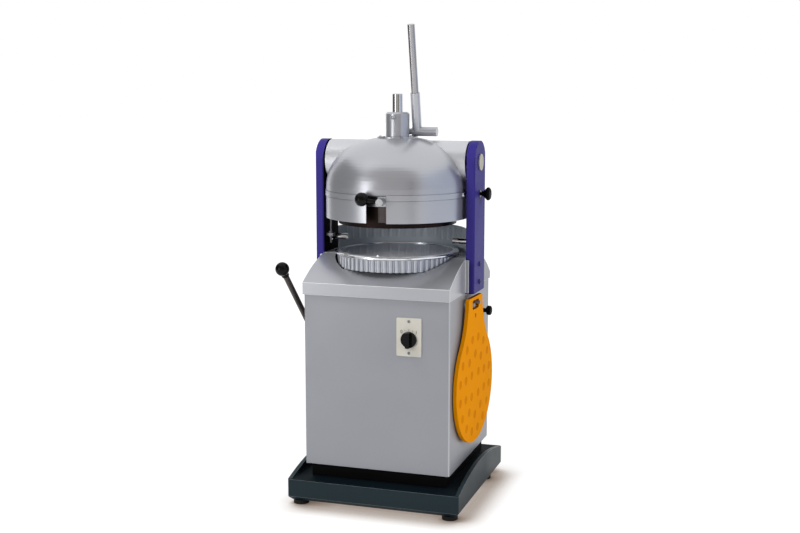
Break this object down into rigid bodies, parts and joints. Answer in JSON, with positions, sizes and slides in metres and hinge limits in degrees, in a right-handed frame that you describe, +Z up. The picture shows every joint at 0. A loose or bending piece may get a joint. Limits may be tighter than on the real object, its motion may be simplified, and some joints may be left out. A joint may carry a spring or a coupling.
{
  "type": "divider rounder",
  "caption": "Floor-standing dough divider rounder: a domed head on two uprights tilts over a circling table, with press, dividing and rounding levers and a hanging moulding plate.",
  "frame": {"origin": "on the floor below the middle of the overall box", "axes": "+Z up, front towards -Y, the hanging plate on the +X side"},
  "size_m": [0.6984, 0.654, 1.7137],
  "materials": {
    "silver paint": "fine metallic silver paint, satin",
    "indigo paint": "indigo blue paint, satin",
    "slate paint": "dark slate paint, satin",
    "frame paint": "grey machine paint",
    "bright steel": "polished plated steel",
    "brushed steel": "machined or brushed stainless steel",
    "machined aluminium": "turned aluminium",
    "dark steel": "dark oxide steel",
    "cast iron": "cast, grooves machined",
    "bronze": "plain bearing bronze",
    "ivory enamel": "ivory enamel",
    "black plastic": "black moulded plastic, half gloss",
    "orange plastic": "orange moulded food-grade plastic",
    "black rubber": "black rubber"
  },
  "bodies": {
    "base": {"base_plinth": "slate paint", "levelling_feet": "black rubber", "toe_kick": "black plastic", "cabinet_shell": "silver paint", "rear_panel": "silver paint", "panel_screws": "bright steel", "front_cover": "silver paint", "rear_cover": "silver paint", "left_upright": "indigo paint", "right_upright": "indigo paint", "upright_bolts": "bright steel", "pivot_bushes": "bronze", "stop_pins": "bright steel", "head_stop": "bright steel", "lock_guide": "brushed steel", "switch_plate": "ivory enamel", "switch_block": "black plastic", "drive_frame": "frame paint", "bearing_column": "frame paint", "column_bearings": "brushed steel", "motor": "frame paint", "motor_bracket": "frame paint", "drive_belt": "black rubber", "rear_guard": "brushed steel", "lever_bush": "bronze", "limit_switch": "black plastic", "plate_peg": "bright steel"},
    "head": {"head_dome": "silver paint", "head_skirt": "silver paint", "head_band": "silver paint", "lock_sockets": "bright steel", "pivot_pins": "ivory enamel", "scale_bar": "dark steel", "top_boss": "silver paint", "boss_screws": "bright steel", "pinion_bushes": "bronze"},
    "press_lever": {"pinion_shaft": "brushed steel", "press_lever_hub": "silver paint", "press_lever_tube": "bright steel"},
    "press_head": {"press_rod": "bright steel", "press_carrier": "machined aluminium", "press_segments": "machined aluminium", "chamber_ring": "dark steel"},
    "knives": {"knife_set": "brushed steel"},
    "dividing": {"dividing_hub": "brushed steel", "dividing_lever": "black plastic"},
    "lock": {"lock_plunger": "black plastic"},
    "switch": {"switch_knob": "black plastic"},
    "hand_lever": {"rounding_lever": "dark steel", "lever_ball": "black plastic"},
    "eccentric": {"eccentric_shaft": "brushed steel", "drive_pulley": "cast iron"},
    "motor_rotor": {"motor_pulley": "cast iron"},
    "crank_left": {"guide_crank_left": "brushed steel"},
    "crank_right": {"guide_crank_right": "brushed steel"},
    "table": {"table_carrier": "machined aluminium", "rounding_table": "machined aluminium", "fluted_ring": "machined aluminium"},
    "side_knob_body": {"side_knob": "black plastic"},
    "plate": {"moulding_plate": "orange plastic"}
  },
  "joints": [
    {"name": "head_tilt", "type": "hinge", "parent": "base", "child": "head", "pos_m": [0, 0.012, 1.227], "axis": [-1, 0, 0], "range_deg": [0, 60]},
    {"name": "press_pull", "type": "hinge", "parent": "head", "child": "press_lever", "pos_m": [0, 0.0205, 1.333], "axis": [1, 0, 0], "range_deg": [0, 70]},
    {"name": "press_slide", "type": "slide", "parent": "head", "child": "press_head", "axis": [0, 0, -1], "range_m": [0, 0.0245]},
    {"name": "dividing_turn", "type": "hinge", "parent": "head", "child": "dividing", "pos_m": [0.0295, -0.27, 1.103], "axis": [0, -1, 0], "range_deg": [0, 60]},
    {"name": "knife_slide", "type": "slide", "parent": "press_head", "child": "knives", "axis": [0, 0, -1], "range_m": [0, 0.018]},
    {"name": "lock_push", "type": "slide", "parent": "base", "child": "lock", "axis": [-1, 0, 0], "range_m": [0, 0.006]},
    {"name": "switch_turn", "type": "hinge", "parent": "base", "child": "switch", "pos_m": [0.123, -0.27, 0.624], "axis": [0, -1, 0], "range_deg": [0, 90]},
    {"name": "rounding_pull", "type": "hinge", "parent": "base", "child": "hand_lever", "pos_m": [-0.289, 0.026, 0.44], "axis": [1, 0, 0], "range_deg": [-30, 40]},
    {"name": "eccentric_spin", "type": "hinge", "parent": "base", "child": "eccentric", "pos_m": [0, -0.016, 0.75], "axis": [0, 0, 1], "continuous": true},
    {"name": "table_circle", "type": "hinge", "parent": "eccentric", "child": "table", "pos_m": [0, -0.024, 0.85], "axis": [0, 0, 1], "continuous": true},
    {"name": "crank_left_spin", "type": "hinge", "parent": "base", "child": "crank_left", "pos_m": [-0.11, -0.016, 0.79], "axis": [0, 0, 1], "continuous": true},
    {"name": "crank_right_spin", "type": "hinge", "parent": "base", "child": "crank_right", "pos_m": [0.11, -0.016, 0.79], "axis": [0, 0, 1], "continuous": true},
    {"name": "motor_spin", "type": "hinge", "parent": "base", "child": "motor_rotor", "pos_m": [0, 0.19, 0.6], "axis": [0, 0, 1], "continuous": true},
    {"name": "side_knob_turn", "type": "hinge", "parent": "base", "child": "side_knob_body", "pos_m": [0.28, 0.199, 0.655], "axis": [1, 0, 0], "range_deg": [0, 270]},
    {"name": "plate_lift_off", "type": "slide", "parent": "base", "child": "plate", "axis": [1, 0, 0], "range_m": [0, 0.06]}
  ],
  "couplings": [
    {"joint": "press_slide", "follows": "press_pull", "m_per_rad": 0.02},
    {"joint": "dividing_turn", "follows": "knife_slide", "rad_per_m": 58.1},
    {"joint": "table_circle", "follows": "eccentric_spin", "ratio": -1},
    {"joint": "crank_left_spin", "follows": "eccentric_spin", "ratio": 1},
    {"joint": "crank_right_spin", "follows": "eccentric_spin", "ratio": 1},
    {"joint": "motor_spin", "follows": "eccentric_spin", "ratio": 3.4286}
  ]
}
